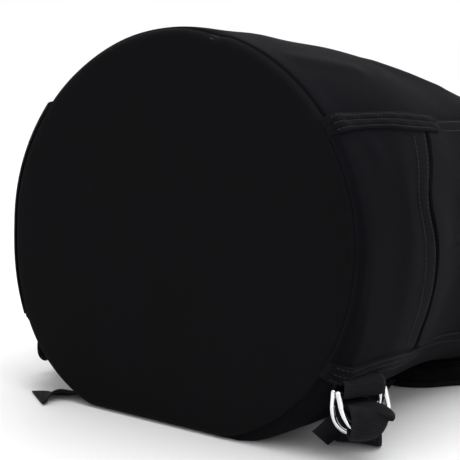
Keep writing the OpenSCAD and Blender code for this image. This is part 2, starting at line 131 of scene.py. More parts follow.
def skin(a, y, d):
    """Points in mm at angle a (degrees) round the bag, y along it and d outside the canvas."""
    a, y, d = np.broadcast_arrays(np.asarray(a, float), np.asarray(y, float), np.asarray(d, float))
    r0 = np.radians(a)
    c, s = np.cos(r0), np.sin(r0)
    upper = 1.95 + 0.75 * smooth(y / 110)        # powers of the rounded section; 2 is an ellipse
    lower_right = 2.08 + 0.42 * smooth(y / 15) + 0.9 * smooth((y - 100) / 150)
    lower_left = 2.45 + 0.35 * smooth(y / 45)
    n = np.where(s >= 0, upper, np.where(c > 0, lower_right, lower_left))
    h = (top_z(y) - low_z(y)) / 2
    r = (np.power(np.abs(c) / half_w(y) + 1e-12, n) + np.power(np.abs(s) / h + 1e-12, n)) ** (-1 / n) + d
    up = r * s
    z = (top_z(y) + low_z(y)) / 2 + up
    return np.stack([r * c + LEAN * up + BASE_SHIFT * (1 - smooth(y / 60)), y, np.maximum(z, -d)], -1)


def seam_hi(y):
    return 35 - 4 * smooth(np.asarray(y, float) / 150)


def seam_lo(y):
    y = np.asarray(y, float)
    return -28 + 2 * smooth(y / 50) - 3.2 * smooth((y - 55) / 60)


def ripple(a, y, seed, ka, ly, n=7):
    """Smooth undulation, periodic round the bag: wave numbers ka round it, wavelengths ly (mm) along it."""
    rng = np.random.default_rng(seed)
    total = 0
    for _ in range(n):
        k = rng.integers(ka[0], ka[1] + 1)
        w = 2 * math.pi / rng.uniform(*ly) * rng.choice([-1, 1])
        phase = rng.uniform(0, 2 * math.pi)
        total = total + np.cos(np.radians(k * np.asarray(a)) + w * np.asarray(y) + phase)
    return total / math.sqrt(n)


def crease(a, y, p, q, width, depth):
    """Gaussian fold along the line from p to q, each (degrees, mm)."""
    ax, ay = (np.asarray(a) - p[0]) * MM_PER_DEG, np.asarray(y) - p[1]
    dx, dy = (q[0] - p[0]) * MM_PER_DEG, q[1] - p[1]
    length = math.hypot(dx, dy)
    t = (ax * dx + ay * dy) / length ** 2
    off = (ax * dy - ay * dx) / length
    ends = np.exp(-np.maximum(0, np.abs(t - 0.5) - 0.35) ** 2 / 0.03)
    return depth * np.exp(-(off / width) ** 2) * ends


def wrap(a):
    return (np.asarray(a) + 180) % 360 - 180


FOLDS = [  # start, end, half width and height of each fold in the canvas
    ((60, 20), (50, 75), 9, 1.4), ((74, 26), (92, 120), 14, 1.6), ((58, 110), (46, 200), 9, 2.2),
    ((84, 150), (52, 230), 12, 2.4), ((100, 90), (120, 190), 16, 2.0), ((96, 240), (60, 330), 14, 2.6),
    ((120, 250), (84, 380), 16, 2.4), ((70, 360), (56, 460), 12, 2.6), ((110, 380), (128, 465), 13, 2.4),
    ((150, 120), (165, 260), 14, 2.0), ((172, 220), (186, 380), 15, 2.2), ((15, 135), (-10, 215), 10, 1.8),
    ((24, 200), (8, 330), 13, 2.2), ((-12, 260), (4, 420), 13, 2.2), ((-30, 180), (-52, 300), 12, 2.0),
    ((205, 170), (222, 320), 13, 2.0)]


def cloth_wave(a, y):
    """How far the canvas stands off its mean surface, in mm."""
    a, y = np.broadcast_arrays(np.asarray(a, float), np.asarray(y, float))
    grow = smooth((y - 5) / 200)
    broad = grow * 0.9 * ripple(a, y, 3, (2, 6), (90, 240))
    fine = (0.25 + 0.5 * grow) * 0.5 * ripple(a, y, 5, (8, 17), (40, 110))
    total = broad + fine
    for p, q, width, height in FOLDS:
        total = total + crease(wrap(a - p[0]) + p[0], y, p, q, width, height) * smooth(y / 30)
    slack = smooth((y - 380) / 90)
    total = total + slack * 1.3 * ripple(a, y, 8, (14, 30), (160, 400))
    near_floor = smooth((-np.sin(np.radians(a)) - 0.72) / 0.2)
    return total * (1 - 0.85 * near_floor)


# ---- Meshes ----
def to_row(points):
    p = np.array(points, float)
    p[..., 1] -= ORIGIN_Y
    return p * MM


def make(name, verts, faces, uvs=None, smooth_faces=True):
    mesh = bpy.data.meshes.new(name)
    mesh.from_pydata([tuple(v) for v in verts], [], [tuple(f) for f in faces])
    if uvs is not None:
        layer = mesh.uv_layers.new(name="UVMap")
        loops = np.empty(len(mesh.loops), np.int32)
        mesh.loops.foreach_get("vertex_index", loops)
        layer.data.foreach_set("uv", np.asarray(uvs, np.float32)[loops].ravel())
    mesh.polygons.foreach_set("use_smooth", [smooth_faces] * len(mesh.polygons))
    mesh.update()
    obj = bpy.data.objects.new(name, mesh)
    collection.objects.link(obj)
    return obj


def quads(nu, nv, wrap_u, offset=0, flip=False):
    faces = []
    for i in range(nu if wrap_u else nu - 1):
        k = (i + 1) % nu
        for j in range(nv - 1):
            f = (offset + i * nv + j, offset + k * nv + j, offset + k * nv + j + 1, offset + i * nv + j + 1)
            faces.append(f[::-1] if flip else f)
    return faces


def surface_uv(p):
    """Lengths in metres round (u) and along (v) a grid of points."""
    du = np.linalg.norm(np.diff(p, axis=0), axis=-1)
    dv = np.linalg.norm(np.diff(p, axis=1), axis=-1)
    u = np.concatenate([np.zeros((1, p.shape[1])), np.cumsum(du, 0)], 0)
    v = np.concatenate([np.zeros((p.shape[0], 1)), np.cumsum(dv, 1)], 1)
    u = np.broadcast_to(u.mean(1, keepdims=True), u.shape)
    v = np.broadcast_to(v.mean(0, keepdims=True), v.shape)
    return np.stack([u, v], -1)


def shell(name, outer, inner, wrap_u=False, ends=(True, True)):
    """Closed skin between two grids of points in mm. Rows run round the bag, columns along it."""
    nu, nv = outer.shape[:2]
    o, i = to_row(outer), to_row(inner)
    n = nu * nv
    faces = quads(nu, nv, wrap_u) + quads(nu, nv, wrap_u, n, True)
    if not wrap_u:
        for row, flip in ((0, False), (nu - 1, True)):
            for j in range(nv - 1):
                f = (row * nv + j, row * nv + j + 1, n + row * nv + j + 1, n + row * nv + j)
                faces.append(f[::-1] if flip else f)
    for col, flip in ((0, True), (nv - 1, False)):
        for r in range(nu if wrap_u else nu - 1):
            k = (r + 1) % nu
            f = (r * nv + col, k * nv + col, n + k * nv + col, n + r * nv + col)
            faces.append(f if flip else f[::-1])
    uv = np.concatenate([surface_uv(o).reshape(-1, 2), surface_uv(i).reshape(-1, 2) + 0.37])
    obj = make(name, np.concatenate([o.reshape(-1, 3), i.reshape(-1, 3)]), faces, uv)
    fix_normals(obj)
    return obj


def fix_normals(obj):
    bm = bmesh.new()
    bm.from_mesh(obj.data)
    bmesh.ops.recalc_face_normals(bm, faces=bm.faces)
    bm.to_mesh(obj.data)
    bm.free()


def unit(v):
    return v / np.maximum(np.linalg.norm(v, axis=-1, keepdims=True), 1e-9)


def spline(points, steps):
    p = np.asarray(points, float)
    out = []
    n = len(p)
    for i in range(n - 1):
        a, b, c, d = p[max(i - 1, 0)], p[i], p[i + 1], p[min(i + 2, n - 1)]
        for k in range(steps):
            t = k / steps
            out.append(b + t * (c - a) / 2 + t * t * (2 * a - 5 * b + 4 * c - d) / 2
                       + t ** 3 * (3 * b - a - 3 * c + d) / 2)
    out.append(p[-1])
    return np.array(out)


def tangents(path):
    return unit(np.gradient(path, axis=0))


def even(path, step):
    """The path resampled at about even steps."""
    s = np.concatenate([[0], np.cumsum(np.linalg.norm(np.diff(path, axis=0), axis=1))])
    n = max(2, int(round(s[-1] / step)) + 1)
    t = np.linspace(0, s[-1], n)
    return np.stack([np.interp(t, s, path[:, k]) for k in range(path.shape[1])], 1)


def ribbon(name, points, wides, half, thick, cup=None, steps=8, across=11):
    """Flat webbing along points (mm), its width along wides; half widths and cupping vary along it."""
    path = spline(points, steps)
    wide = spline(wides, steps)
    half = spline(np.array(half, float)[:, None], steps)[:, 0]
    cup = np.zeros(len(path)) if cup is None else spline(np.array(cup, float)[:, None], steps)[:, 0]
    t = tangents(path)
    wide = unit(wide - (wide * t).sum(1, keepdims=True) * t)
    up = np.cross(wide, t)
    s = np.linspace(-1, 1, across)
    s = np.sign(s) * np.abs(s) ** 0.8
    edge = np.sqrt(np.clip(1 - np.abs(s) ** 14, 0.06, 1))
    rings, uvs = [], []
    length = np.concatenate([[0], np.cumsum(np.linalg.norm(np.diff(path, axis=0), axis=1))])
    for i in range(len(path)):
        lift = cup[i] * s[:, None] ** 2 * up[i]
        top = path[i] + s[:, None] * half[i] * wide[i] + edge[:, None] * thick / 2 * up[i] + lift
        low = path[i] + s[:, None] * half[i] * wide[i] - edge[:, None] * thick / 2 * up[i] + lift
        rings.append(np.concatenate([top, low[::-1]]))
        u = np.concatenate([s, s[::-1]]) * half[i]
        uvs.append(np.stack([u, np.full(len(u), length[i])], 1) * MM)
    m = 2 * across
    rings = np.array(rings)
    verts = to_row(rings).reshape(-1, 3)
    faces = []
    for i in range(len(path) - 1):
        for j in range(m):
            k = (j + 1) % m
            faces.append((i * m + j, i * m + k, (i + 1) * m + k, (i + 1) * m + j))
    last = (len(path) - 1) * m
    for j in range(across - 1):
        faces.append((j, m - 1 - j, m - 2 - j, j + 1))
        faces.append((last + j, last + j + 1, last + m - 2 - j, last + m - 1 - j))
    obj = make(name, verts, faces, np.concatenate(uvs))
    fix_normals(obj)
    return obj


def stitch_row(path, ups, pitch=3.6, length=2.7, r=0.42, sink=0.08):
    """Vertices and faces of one row of stitches along a path (mm), standing on the cloth."""
    s = np.concatenate([[0], np.cumsum(np.linalg.norm(np.diff(path, axis=0), axis=1))])
    count = max(1, int((s[-1] - 1) / pitch))
    verts, faces = [], []
    profile = [(-0.5, 0.25), (-0.42, 0.75), (-0.2, 1.0), (0.2, 1.0), (0.42, 0.75), (0.5, 0.25)]

    def at(q, arr):
        return np.array([np.interp(q, s, arr[:, c]) for c in range(3)])

    for k in range(count):
        mid = 0.5 * pitch + k * pitch
        if mid + length / 2 > s[-1]:
            break
        p = at(mid, path)
        t = unit(at(mid + 0.6, path) - at(mid - 0.6, path))
        up = at(mid, ups)
        up = unit(up - (up @ t) * t)
        side = np.cross(t, up)
        base = len(verts)
        for x, w in profile:
            arch = (1 - (2 * x) ** 2) * 0.16
            for m in range(6):
                ang = m * math.pi / 3
                rise = arch - sink + r * 0.55 * w * math.sin(ang)
                verts.append(p + t * x * length + up * rise + side * r * w * math.cos(ang))
        for i in range(5):
            for m in range(6):
                n = (m + 1) % 6
                faces.append((base + i * 6 + m, base + i * 6 + n, base + i * 6 + 6 + n, base + i * 6 + 6 + m))
        faces.append(tuple(base + m for m in range(5, -1, -1)))
        faces.append(tuple(base + 30 + m for m in range(6)))
    return verts, faces


def stitches(name, rows, body="bag", parent=None, **how):
    """One piece of stitching made of rows, each (path, ups) in mm."""
    verts, faces = [], []
    for path, ups in rows:
        v, f = stitch_row(np.asarray(path, float), np.asarray(ups, float), **how)
        faces += [tuple(i + len(verts) for i in q) for q in f]
        verts += v
    obj = make(name, to_row(np.array(verts)), faces)
    obj.data.materials.append(MATERIALS["thread"])
    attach(obj, body)
    return obj


def dress(obj, material, body, slot, *nodes):
    obj.data.materials.clear()
    obj.data.materials.append(MATERIALS[material])
    if body:
        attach(obj, body)
    if nodes:
        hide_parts(*nodes)
    return obj


# ---- Materials ----
class Nodes:
    """Short way to build a node material."""

    def __init__(self, name):
        self.mat = bpy.data.materials.new(name)
        self.mat.use_nodes = True
        self.tree = self.mat.node_tree
        self.tree.nodes.clear()
        self.out = self.tree.nodes.new("ShaderNodeOutputMaterial")
        self.shader = self.tree.nodes.new("ShaderNodeBsdfPrincipled")
        self.link(self.shader.outputs[0], self.out.inputs["Surface"])

    def link(self, a, b):
        self.tree.links.new(a, b)

    def put(self, value, socket):
        if hasattr(value, "is_output"):
            self.link(value, socket)
        else:
            socket.default_value = value

    def set(self, **values):
        for key, value in values.items():
            self.put(value, self.shader.inputs[key.replace("_", " ")])

    def math(self, op, a, b=0.0, c=0.0):
        n = self.tree.nodes.new("ShaderNodeMath")
        n.operation = op
        for k, v in enumerate((a, b, c)):
            self.put(v, n.inputs[k])
        return n.outputs[0]

    def uv(self):
        n = self.tree.nodes.new("ShaderNodeUVMap")
        n.uv_map = "UVMap"
        split = self.tree.nodes.new("ShaderNodeSeparateXYZ")
        self.link(n.outputs[0], split.inputs[0])
        return n.outputs[0], split.outputs[0], split.outputs[1]

    def place(self):
        return self.tree.nodes.new("ShaderNodeTexCoord").outputs["Object"]

    def scaled(self, vector, by):
        n = self.tree.nodes.new("ShaderNodeMapping")
        self.link(vector, n.inputs["Vector"])
        n.inputs["Scale"].default_value = by
        return n.outputs[0]

    def noise(self, vector, scale, detail=3.0, rough=0.55):
        n = self.tree.nodes.new("ShaderNodeTexNoise")
        self.link(vector, n.inputs["Vector"])
        n.inputs["Scale"].default_value = scale
        n.inputs["Detail"].default_value = detail
        n.inputs["Roughness"].default_value = rough
        return n.outputs[0]

    def spread(self, value, lo, hi, out_lo, out_hi):
        n = self.tree.nodes.new("ShaderNodeMapRange")
        inputs = {"Value": value, "From Min": lo, "From Max": hi, "To Min": out_lo, "To Max": out_hi}
        for k, v in inputs.items():
            self.put(v, n.inputs[k])
        return n.outputs[0]

    def mix(self, factor, a, b):
        n = self.tree.nodes.new("ShaderNodeMix")
        n.data_type = "RGBA"
        self.put(factor, n.inputs[0])
        self.put(a, n.inputs[6])
        self.put(b, n.inputs[7])
        return n.outputs[2]

    def bump(self, height, distance, strength=1.0, normal=None):
        n = self.tree.nodes.new("ShaderNodeBump")
        n.inputs["Strength"].default_value = strength
        n.inputs["Distance"].default_value = distance
        self.link(height, n.inputs["Height"])
        if normal is not None:
            self.link(normal, n.inputs["Normal"])
        return n.outputs[0]


def rgb(r, g, b):
    return (r, g, b, 1.0)


def fabric(name, dark, light, thread=0.85, slub=1.0, rough=0.9, sheen=0.25, ribs=None, weave=0.00012):
    """Woven cloth: warp and weft (thread) and ribs of the given pitch in mm, slubs, mottling and wear."""
    m = Nodes(name)
    vector, u, v = m.uv()
    place = m.place()
    k = 2 * math.pi / (thread * MM)
    warp = m.math("SINE", m.math("MULTIPLY", u, k))
    weft = m.math("SINE", m.math("MULTIPLY", v, k))
    height = m.math("MULTIPLY", warp, weft)
    streak_u = m.noise(m.scaled(vector, (1400, 90, 1)), 1.0, 2.0)
    streak_v = m.noise(m.scaled(vector, (90, 1400, 1)), 1.0, 2.0)
    threads = m.math("ADD", streak_u, streak_v)
    if ribs:
        rib = m.math("SINE", m.math("MULTIPLY", v, 2 * math.pi / (ribs * MM)))
        edge = m.math("ABSOLUTE", m.math("SINE", m.math("MULTIPLY", u, math.pi / (3.2 * MM))))
        ribbed = m.math("MULTIPLY", rib, m.math("ADD", 0.5, m.math("MULTIPLY", edge, 0.6)))
        height = m.math("ADD", m.math("MULTIPLY", height, 0.4), ribbed)
    mottle = m.noise(place, 14.0, 4.0, 0.6)
    blotch = m.noise(place, 4.0, 2.0, 0.5)
    fine = m.noise(place, 900.0, 2.0, 0.6)
    geo = m.tree.nodes.new("ShaderNodeNewGeometry")
    worn = m.spread(geo.outputs["Pointiness"], 0.51, 0.56, 0.0, 0.55)
    slubs = m.spread(threads, 0.75, 1.25, 0.1 * slub, 0.5 * slub)
    tone = m.math("ADD", slubs, m.spread(mottle, 0.3, 0.7, -0.12, 0.25))
    tone = m.math("ADD", tone, m.spread(blotch, 0.3, 0.7, -0.1, 0.18))
    tone = m.math("ADD", tone, m.spread(height, -1.0, 1.0, -0.1, 0.16))
    tone = m.math("ADD", tone, worn)
    colour = m.mix(m.math("MAXIMUM", m.math("MINIMUM", tone, 1.0), 0.0), rgb(*dark), rgb(*light))
    normal = m.bump(m.math("ADD", height, m.math("MULTIPLY", threads, 0.9 * slub)), weave, 0.8)
    dents = m.math("ADD", m.noise(place, 60.0, 3.0), m.math("MULTIPLY", fine, 0.15))
    normal = m.bump(dents, 0.0006, 0.35, normal)
    dull = m.spread(mottle, 0.3, 0.7, rough - 0.07, min(1.0, rough + 0.06))
    m.set(Base_Color=colour, Roughness=dull, Normal=normal)
    m.shader.inputs["Specular IOR Level"].default_value = 0.05
    m.shader.inputs["Sheen Weight"].default_value = sheen
    m.shader.inputs["Sheen Roughness"].default_value = 0.45
    m.shader.inputs["Sheen Tint"].default_value = rgb(0.55, 0.57, 0.68)
    return m.mat


def metal(name, colour, rough, scratch=0.00002):
    m = Nodes(name)
    place = m.place()
    smear = m.noise(place, 35.0, 4.0, 0.6)
    lines = m.noise(m.scaled(place, (60, 900, 900)), 1.0, 2.0)
    m.set(Base_Color=m.mix(smear, rgb(*[c * 0.86 for c in colour]), rgb(*colour)),
          Roughness=m.spread(smear, 0.25, 0.75, rough * 0.7, rough * 1.6), Normal=m.bump(lines, scratch, 0.5))
    m.shader.inputs["Metallic"].default_value = 1.0
    return m.mat


def plastic(name, dark, light, rough):
    m = Nodes(name)
    place = m.place()
    grain = m.noise(place, 700.0, 3.0, 0.6)
    wear = m.noise(place, 40.0, 4.0, 0.6)
    m.set(Base_Color=m.mix(wear, rgb(*dark), rgb(*light)),
          Roughness=m.spread(wear, 0.3, 0.7, rough - 0.1, rough + 0.1),
          Normal=m.bump(grain, 0.00008, 0.4))
    return m.mat


MATERIALS = {
    "disc": fabric("base_cloth", (0.0016, 0.0016, 0.0019), (0.0054, 0.0053, 0.0063),
                   thread=0.7, rough=0.95, sheen=0.01, weave=0.00008),
    "canvas": fabric("body_canvas", (0.0006, 0.0006, 0.0010), (0.0034, 0.0032, 0.0050),
                     thread=0.95, rough=0.9, sheen=0.02),
    "tape": fabric("felled_tape", (0.0009, 0.0009, 0.0013), (0.0042, 0.0040, 0.0058),
                   thread=0.8, rough=0.86, sheen=0.02),
    "webbing": fabric("webbing", (0.0022, 0.0022, 0.0028), (0.0098, 0.0096, 0.0118),
                      thread=0.9, rough=0.8, sheen=0.03, ribs=1.7, weave=0.00022),
    "pad": fabric("pad_cloth", (0.0015, 0.0015, 0.0018), (0.0055, 0.0055, 0.0066),
                  thread=1.3, rough=0.88, sheen=0.02),
    "lining": fabric("lining_cloth", (0.012, 0.012, 0.014), (0.026, 0.026, 0.03),
                     thread=0.6, rough=0.7, sheen=0.1),
    "cord": fabric("cord_braid", (0.011, 0.011, 0.012), (0.04, 0.04, 0.043),
                   thread=1.1, rough=0.75, sheen=0.2, ribs=1.4, weave=0.00025),
    "thread": plastic("sewing_thread", (0.0014, 0.0014, 0.0019), (0.0045, 0.0044, 0.006), 0.9),
    "chrome": metal("polished_chrome", (0.86, 0.87, 0.89), 0.09),
    "nickel": metal("nickel_plate", (0.62, 0.61, 0.58), 0.22),
    "steel": metal("spring_steel", (0.5, 0.5, 0.5), 0.3),
    "lock": plastic("moulded_lock", (0.012, 0.012, 0.013), (0.022, 0.022, 0.024), 0.42),
    "plunger": plastic("moulded_plunger", (0.03, 0.03, 0.034), (0.045, 0.045, 0.05), 0.4),
    "board": plastic("stiffener_board", (0.03, 0.03, 0.03), (0.05, 0.05, 0.05), 0.6),
}

CAD_LOOKS = {"right_inner_d_ring": "chrome", "right_outer_d_ring": "chrome",
             "left_inner_d_ring": "chrome", "left_outer_d_ring": "chrome",
             "cord_eyelets": "nickel", "cord_lock_barrel": "lock", "cord_lock_plunger": "plunger",
             "cord_lock_spring": "steel", "cord_end_bead": "lock", "base_stiffener": "board"}
for node, look in CAD_LOOKS.items():
    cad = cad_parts[node]
    if not cad.material_slots:
        cad.data.materials.append(None)
    for place in cad.material_slots:
        place.material = MATERIALS[look]

# ---- Body ----
FLOOR_GAP = 0.15
HEM_START = BAG_LEN - HEM_DEPTH
PANEL_END = HEM_START - 0.5
SEAM_EDGE = 0.5 * TAPE_W / 150 * 180 / math.pi   # half a tape's width in degrees, 150 mm from the axis


def seams(y):
    return [seam_hi(y), seam_lo(y), 180 - seam_hi(y), 180 - seam_lo(y)]


def notch(a):
    """The small nick in the base seam, just past the top of the disc."""
    return 2.6 * np.exp(-((np.asarray(a) - 79) / 2.6) ** 2) + 1.0 * np.exp(-((np.asarray(a) - 84) / 3.5) ** 2)


def seam_ridge(a, y):
    """Doubled cloth along the four long seams, past the end of the tapes, and its pinched edge."""
    total = 0
    show = smooth((y - TAPE_LEN + 14) / 10)
    for s in seams(y):
        off = wrap(a - s) * MM_PER_DEG
        plateau = 0.9 / (1 + np.exp(np.minimum((np.abs(off) - 5.2) / 0.5, 50)))
        pinch = 0.9 * np.exp(-((off - 6.2) / 0.9) ** 2)
        sewn = 0.35 * np.exp(-((np.abs(off) - 3.6) / 0.6) ** 2)
        total = total + show * (plateau - pinch - sewn)
    return total


def bump(x, at, width):
    """A smooth rise of height 1 at the place given."""
    return np.exp(-((x - at) / width) ** 2)


def mouth_dip(f):
    """How far the pocket mouth's edge wanders from a straight line, in mm."""
    ends = 4.5 * bump(f, 1, 0.07) + 11 * bump(f, 0, 0.09) + 4.5
    return ends - np.sin(np.pi * f) - 12 * bump(f, 0.67, 0.14) - 5.5 * bump(f, 0.72, 0.2)


def past_mouth(a, y):
    """The body swells again beyond the tight edge of a pocket's mouth."""
    a, y = np.broadcast_arrays(wrap(a), np.asarray(y, float))
    front = np.where(np.abs(a) > 90, wrap(180 - a), a)
    f = np.clip((front - seam_lo(y)) / (seam_hi(y) - seam_lo(y)), 0, 1)
    past = y - POCKET_DEPTH - mouth_dip(f)
    swell = 3.2 + 4 * np.sin(np.pi * f)
    ends = smooth(f / 0.06) * smooth((1 - f) / 0.06)
    return swell * ends * smooth((past - 0.9) / 1.6) * (1 - smooth((past - 8) / 60))


def body_lift(a, y):
    tuck = -6 * (1 - smooth((y - 3.2) / 3.8)) - notch(a) * (1 - smooth((y - 3) / 9))
    return cloth_wave(a, y) + seam_ridge(a, y) + tuck + past_mouth(a, y)


def build_body():
    """The four panels as one skin, finest by the base seam and the pocket mouths."""
    a = np.arange(0, 360, 0.9)
    y = np.concatenate([np.linspace(3.2, 16, 20), np.linspace(17.5, 74, 32), np.linspace(75, 112, 50),
                        np.linspace(113.5, 130, 10), np.linspace(132.5, PANEL_END - 1, 120)])
    A, Y = np.meshgrid(a, y, indexing="ij")
    d = body_lift(A, Y)
    outer = skin(A, Y, d)
    inner = skin(A, Y, d - CLOTH)
    outer[..., 2] = np.maximum(outer[..., 2], FLOOR_GAP)
    inner[..., 2] = np.maximum(inner[..., 2], FLOOR_GAP + CLOTH)
    obj = shell("body_canvas", outer, inner, wrap_u=True)
    dress(obj, "canvas", "bag", "canvas", "front_panel", "back_panel", "right_side_panel", "left_side_panel")


build_body()


CENTRE_INSET = 146.0


def build_base():
    """The round base: a taut disc whose edge turns in to the seam."""
    a = np.arange(0, 360, 1.5)
    inset = np.array([1.6, 1.8, 2.2, 2.9, 4.0, 5.6, 8, 13, 22, 36, 54, 75, 98, 118, 132, 142.5])
    depth = np.array([5.2, 3.9, 2.7, 1.7, 0.9, 0.4, 0.1, 0, 0, 0, 0, 0, 0, 0, 0, 0])
    A, I = np.meshgrid(a, inset, indexing="ij")
    share = 1 - I / CENTRE_INSET
    edge = skin(A, 0 * A, -I[:, :1] - notch(A))
    mid = np.array([0, 0, (BASE_TOP - 10) / 2])
    p = mid + (edge - mid) * np.clip(share, 0.0, 1)[..., None] / np.clip(share[:, :1], 0.01, 1)[..., None]
    x, z = p[..., 0], p[..., 2]
    sag = 0.5 * np.cos(x / 41 + 0.7) * np.cos(z / 57 - 0.4) + 0.35 * np.sin(x / 23 + z / 31) + 0.8
    p[..., 1] = depth[None, :] + sag * smooth((I - 4) / 40) * 0.8
    p[..., 2] = np.maximum(p[..., 2], 0.3)
    back = p.copy()
    back[..., 1] += np.where(I < 3, 1.0, 0.9)
    front = to_row(p)
    rear = to_row(back)
    nu, nv = p.shape[:2]
    n = nu * nv
    faces = quads(nu, nv, True) + quads(nu, nv, True, n, True)
    for r in range(nu):
        k = (r + 1) % nu
        faces.append((r * nv, k * nv, n + k * nv, n + r * nv))
    centre_f, centre_b = 2 * n, 2 * n + 1
    verts = np.concatenate([front.reshape(-1, 3), rear.reshape(-1, 3),
                            [front[:, -1].mean(0)], [rear[:, -1].mean(0)]])
    for r in range(nu):
        k = (r + 1) % nu
        faces.append((r * nv + nv - 1, k * nv + nv - 1, centre_f))
        faces.append((n + k * nv + nv - 1, n + r * nv + nv - 1, centre_b))
    obj = make("base_cloth", verts, faces, verts[:, [0, 2]])
    fix_normals(obj)
    dress(obj, "disc", "bag", "base_canvas", "base_panel")


build_base()


LINING_INSET = 3.4


def build_base_inside():
    """The lining of the base, and the binding over the base seam."""
    a = np.arange(0, 360, 3)
    inset = np.array([LINING_INSET, 4.2, 20, 60, 100, 140])
    A, I = np.meshgrid(a, inset, indexing="ij")
    edge = skin(A, 0 * A, -LINING_INSET)
    mid = np.array([0, 0, (BASE_TOP - 10) / 2])
    p = mid + (edge - mid) * (1 - (I - LINING_INSET) / 140)[..., None]
    p[..., 1] = CLOTH + 3.4 + 1.2
    p[..., 1] += 0.25 * np.sin(p[..., 0] / 19) * np.sin(p[..., 2] / 27) + 0.3
    back = p.copy()
    back[..., 1] = CLOTH + 3.45
    obj = shell("base_lining_cloth", p, back, wrap_u=True)
    dress(obj, "lining", "bag", "lining", "base_lining")
    a = np.arange(0, 360, 2)
    q = np.array([[0, 0], [1.5, 0.5], [4.5, 0.1], [7.5, 0.5], [9, 0]])
    outer = np.stack([skin(a, 8 + y0 + 0 * a, -CLOTH - CLEAR + 0.1 - 0.4 * d0) for y0, d0 in q], 1)
    inner = np.stack([skin(a, 8 + y0 + 0 * a, -CLOTH - CLEAR - 2.2 - 0.3 * d0) for y0, d0 in q], 1)
    outer[..., 2] = np.maximum(outer[..., 2], 2.2)
    inner[..., 2] = np.maximum(inner[..., 2], 4.2)
    obj = shell("base_seam_tape", outer, inner, wrap_u=True)
    dress(obj, "webbing", "bag", "webbing", "base_seam_binding")


build_base_inside()

# ---- Felled seam tapes ----
TAPE_ROWS = (-0.7, 0.0, 0.7)
TAPES = {"right_upper": seam_hi, "right_lower": seam_lo,
         "left_upper": lambda y: 180 - seam_hi(y), "left_lower": lambda y: 180 - seam_lo(y)}


def tape_height(s, y):
    valley = sum(np.exp(-((s - r) / 0.13) ** 2) for r in TAPE_ROWS)
    crown = 2.8 * np.clip(1 - np.abs(s) ** 8, 0, 1) ** 0.6
    wobble = 0.18 * np.sin(y / 3.1 + 4 * s) + 0.15 * np.sin(y / 7.3)
    return CLOTH + CLEAR + 0.5 + crown - 0.9 * valley + wobble * (1 - s ** 4)


def tape_tuck(side, y):
    """How the tape dives into the base seam: the left ones are pulled flatter."""
    if side.startswith("left"):
        return -6 * (1 - smooth((y - 1) / 30)) - 1.5
    return -4.2 * (1 - smooth((y - 0.5) / 5.5)) + 0.9 * np.exp(-((y - 9) / 4.5) ** 2)


def tape_width(y):
    return SEAM_EDGE * (1 + 0.05 * np.sin(y / 9.0) + 0.12 * np.exp(-((y - 6) / 7) ** 2))


def build_tapes():
    for side, at in TAPES.items():
        s = np.linspace(-1, 1, 25)
        y = np.concatenate([np.linspace(1.2, 14, 12), np.linspace(15.5, TAPE_LEN, 70)])
        S, Y = np.meshgrid(s, y, indexing="ij")
        A = at(Y) + S * tape_width(Y)
        wave = cloth_wave(A, Y)
        tuck = tape_tuck(side, Y)
        end = 1 - 0.75 * smooth((Y - TAPE_LEN + 2.0) / 2.0)
        outer = skin(A, Y, wave + tuck + tape_height(S, Y) * end)
        inner = skin(A, Y, wave + tuck + 0.5)
        obj = shell(side + "_tape", outer, inner)
        dress(obj, "tape", "bag", "webbing", side + "_seam_tape")
        rows = []
        for r in TAPE_ROWS:
            yy = np.linspace(3.5, TAPE_LEN - 4, 90)
            aa = at(yy) + r * tape_width(yy)
            lift = cloth_wave(aa, yy) + tape_tuck(side, yy) + tape_height(np.full_like(yy, r), yy)
            p = skin(aa, yy, lift)
            rows.append((p, skin(aa, yy, lift + 1) - p))
        for yy in (TAPE_LEN - 3.0, TAPE_LEN - 4.4):
            ss = np.linspace(-0.8, 0.8, 20)
            ya = np.full_like(ss, yy)
            aa = at(ya) + ss * tape_width(ya)
            lift = cloth_wave(aa, ya) + tape_height(ss, ya)
            p = skin(aa, ya, lift)
            rows.append((p, skin(aa, ya, lift + 1) - p))
        stitches(side + "_tape_stitching", rows)


build_tapes()

# ---- Pockets ----
HEM_TAPE = 18.0
POCKET_STAND = 4.0       # how far the middle of a pocket's mouth stands off the body


def pouch(f, y):
    return CLEAR + POCKET_STAND * np.sin(np.pi * f) * smooth((y - 20) / (POCKET_DEPTH - 20)) ** 1.6


def pocket_lift(f, y, a):
    fold = (0.8 * np.exp(-((y - 52) / 9) ** 2) * np.sin(np.pi * f) ** 0.5
            - 0.6 * np.exp(-((y - 70) / 7) ** 2) * np.sin(np.pi * f))
    fold = fold + 1.0 * np.exp(-((y - 26 - 30 * (1 - f)) / 7) ** 2) * np.exp(-((f - 0.88) / 0.09) ** 2)
    hem = 0.15 * smooth((y - POCKET_DEPTH + HEM_TAPE + 1.0) / 2.4)
    hem = hem - 0.08 * np.exp(-((y - POCKET_DEPTH + HEM_TAPE - 2.2) / 0.8) ** 2)
    return cloth_wave(a, y) + pouch(f, y) + fold * smooth((y - 6) / 12) + CLOTH + hem


def pocket_grid(side, f, y):
    """Angles round the bag of pocket shares f, from the lower seam to the upper one."""
    a = seam_lo(y) + (seam_hi(y) - seam_lo(y)) * f
    return a if side == "right" else 180 - a


